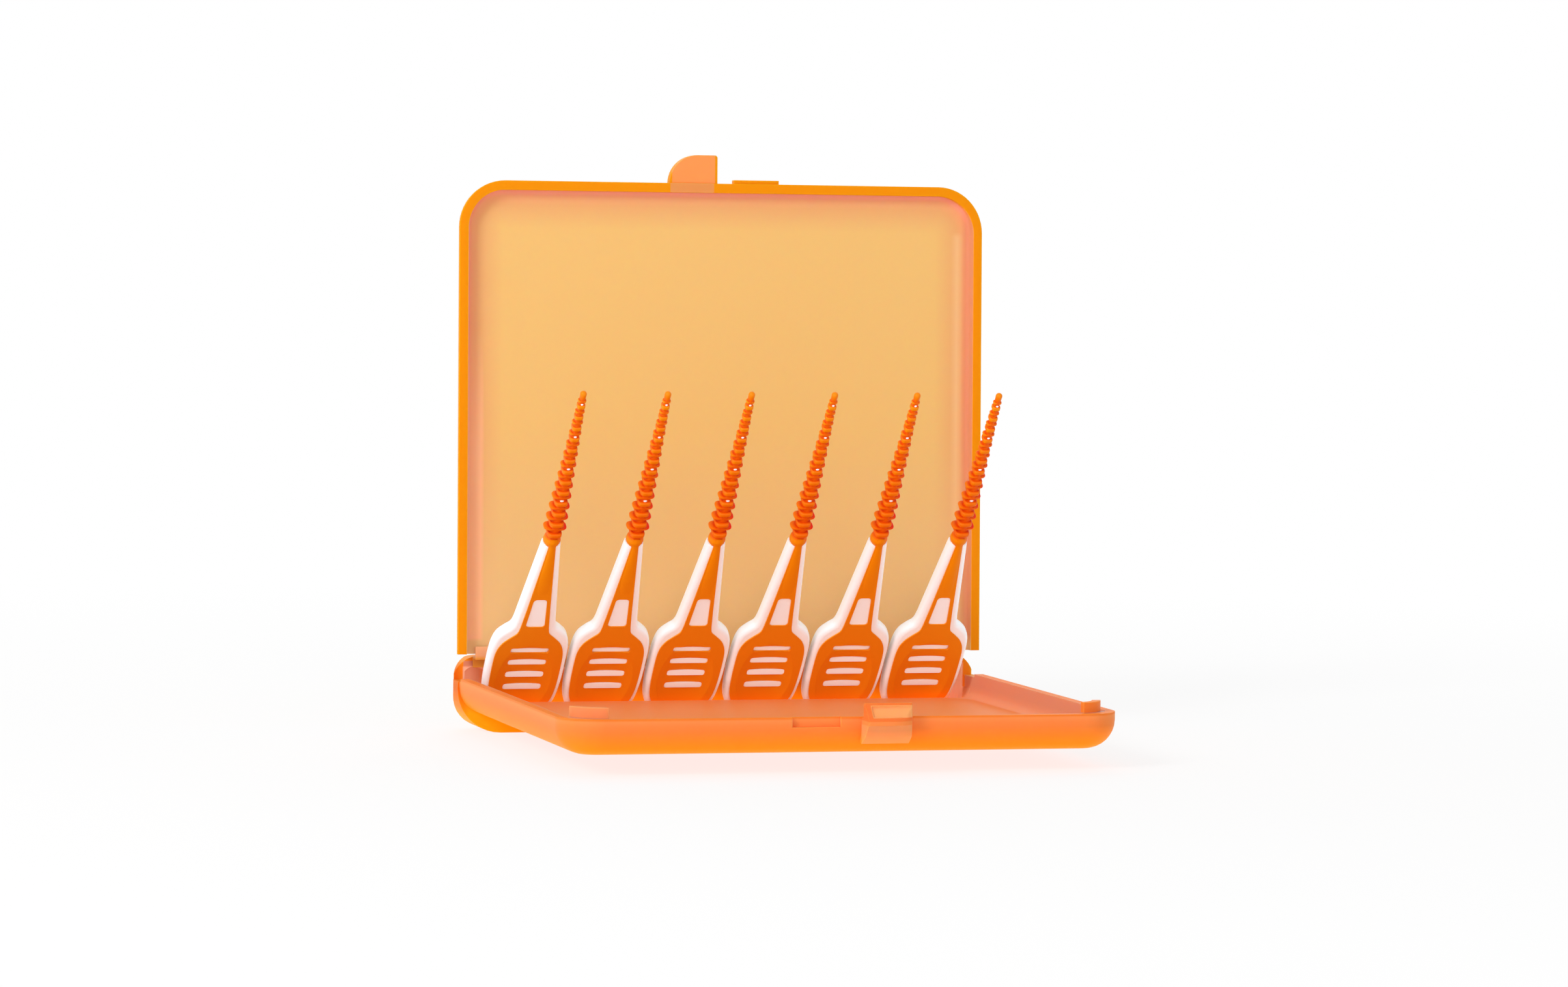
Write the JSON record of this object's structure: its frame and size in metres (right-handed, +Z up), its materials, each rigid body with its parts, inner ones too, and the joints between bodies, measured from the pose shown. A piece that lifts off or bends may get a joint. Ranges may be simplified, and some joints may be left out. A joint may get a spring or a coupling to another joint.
{
  "type": "interdental pick travel case",
  "caption": "Open flat translucent hinged travel case whose back pocket holds a row of rubber-sleeved interdental picks by their handles.",
  "frame": {"origin": "centre of the case's footprint box at the height of the pocket's flat underside, which stands on the table", "axes": "+X across the row of picks to the right, +Y from the tray's thumb tab towards the hinge, +Z up"},
  "size_m": [0.071, 0.068, 0.0742],
  "materials": {
    "case_plastic": "translucent orange polypropylene, satin",
    "hinge_film": "thin translucent orange film",
    "pick_core": "white moulded plastic, satin",
    "pick_rubber": "soft orange elastomer, matte"
  },
  "bodies": {
    "base": {"base": "case_plastic", "film_hinge": "hinge_film"},
    "lid": {"lid": "case_plastic"},
    "pick_1": {"pick_1_core": "pick_core", "pick_1_overmould": "pick_rubber"},
    "pick_2": {"pick_2_core": "pick_core", "pick_2_overmould": "pick_rubber"},
    "pick_3": {"pick_3_core": "pick_core", "pick_3_overmould": "pick_rubber"},
    "pick_4": {"pick_4_core": "pick_core", "pick_4_overmould": "pick_rubber"},
    "pick_5": {"pick_5_core": "pick_core", "pick_5_overmould": "pick_rubber"},
    "pick_6": {"pick_6_core": "pick_core", "pick_6_overmould": "pick_rubber"}
  },
  "joints": [
    {"name": "lid_hinge", "type": "hinge", "parent": "base", "child": "lid", "pos_m": [0, 0.0299, 0.0099], "axis": [1, 0, 0], "range_deg": [0, 91.8], "deforming": ["film_hinge"]},
    {"name": "pick_1_tilt", "type": "hinge", "parent": "base", "child": "pick_1", "pos_m": [-0.02674, 0.0279, 0.00535], "axis": [1, 0, 0], "range_deg": [0, 50.2]},
    {"name": "pick_2_tilt", "type": "hinge", "parent": "base", "child": "pick_2", "pos_m": [-0.01604, 0.0279, 0.00535], "axis": [1, 0, 0], "range_deg": [0, 50.2]},
    {"name": "pick_3_tilt", "type": "hinge", "parent": "base", "child": "pick_3", "pos_m": [-0.00535, 0.0279, 0.00535], "axis": [1, 0, 0], "range_deg": [0, 50.2]},
    {"name": "pick_4_tilt", "type": "hinge", "parent": "base", "child": "pick_4", "pos_m": [0.00535, 0.0279, 0.00535], "axis": [1, 0, 0], "range_deg": [0, 50.2]},
    {"name": "pick_5_tilt", "type": "hinge", "parent": "base", "child": "pick_5", "pos_m": [0.01604, 0.0279, 0.00535], "axis": [1, 0, 0], "range_deg": [0, 50.2]},
    {"name": "pick_6_tilt", "type": "hinge", "parent": "base", "child": "pick_6", "pos_m": [0.02674, 0.0279, 0.00535], "axis": [1, 0, 0], "range_deg": [0, 50.2]}
  ],
  "couplings": [
    {"joint": "pick_1_tilt", "follows": "lid_hinge", "ratio": 0.5468},
    {"joint": "pick_2_tilt", "follows": "lid_hinge", "ratio": 0.5468},
    {"joint": "pick_3_tilt", "follows": "lid_hinge", "ratio": 0.5468},
    {"joint": "pick_4_tilt", "follows": "lid_hinge", "ratio": 0.5468},
    {"joint": "pick_5_tilt", "follows": "lid_hinge", "ratio": 0.5468},
    {"joint": "pick_6_tilt", "follows": "lid_hinge", "ratio": 0.5468}
  ]
}
